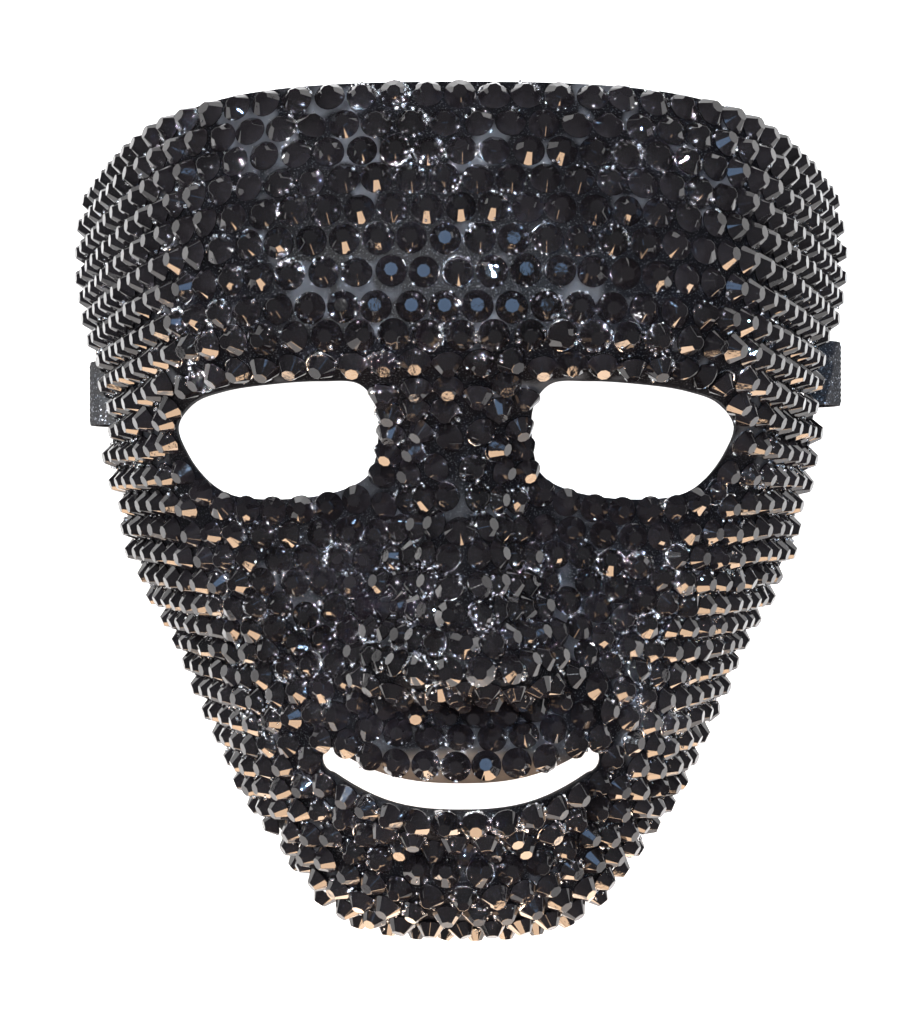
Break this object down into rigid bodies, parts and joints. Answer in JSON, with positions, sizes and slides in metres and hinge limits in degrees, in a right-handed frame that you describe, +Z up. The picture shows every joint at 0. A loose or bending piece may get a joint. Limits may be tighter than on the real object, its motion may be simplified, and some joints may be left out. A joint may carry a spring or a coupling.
{
  "type": "rhinestone masquerade mask",
  "caption": "Full-face black plastic party mask with eye and smile openings, covered in rows of jet rhinestones, with an elastic strap",
  "frame": {"origin": "on the table under the middle of the mask's bounding box, with the mask lying face up on its rim", "axes": "+X to the right seen from above the face, +Y toward the forehead, +Z up out of the face"},
  "size_m": [0.18, 0.1756, 0.0858],
  "materials": {
    "shell": "satin dark grey moulded plastic with a fine grain and clear glue between the stones",
    "rhinestone": "jet black faceted resin stones with a mirror gloss",
    "elastic": "woven dark grey elastic with silvery glitter threads"
  },
  "bodies": {
    "root": {"mask_shell": "shell", "stone_row_01": "rhinestone", "stone_row_02": "rhinestone", "stone_row_03": "rhinestone", "stone_row_04": "rhinestone", "stone_row_05": "rhinestone", "stone_row_06": "rhinestone", "stone_row_07": "rhinestone", "stone_row_08": "rhinestone", "stone_row_09": "rhinestone", "stone_row_10": "rhinestone", "stone_row_11_left": "rhinestone", "stone_row_11_mid": "rhinestone", "stone_row_11_right": "rhinestone", "stone_row_12_left": "rhinestone", "stone_row_12_mid": "rhinestone", "stone_row_12_right": "rhinestone", "stone_row_13_left": "rhinestone", "stone_row_13_mid": "rhinestone", "stone_row_13_right": "rhinestone", "stone_row_14": "rhinestone", "stone_row_15": "rhinestone", "stone_row_16": "rhinestone", "stone_row_17": "rhinestone", "stone_row_18": "rhinestone", "stone_row_19": "rhinestone", "stone_row_20": "rhinestone", "stone_row_21": "rhinestone", "stone_row_22": "rhinestone", "stone_row_23": "rhinestone", "stone_row_24": "rhinestone", "stone_row_25_left": "rhinestone", "stone_row_25_right": "rhinestone", "stone_row_26": "rhinestone", "stone_row_27": "rhinestone", "stone_row_28": "rhinestone", "stone_row_29": "rhinestone", "stone_row_30": "rhinestone", "stone_row_31": "rhinestone", "stone_row_32": "rhinestone", "elastic_strap": "elastic"}
  },
  "joints": []
}
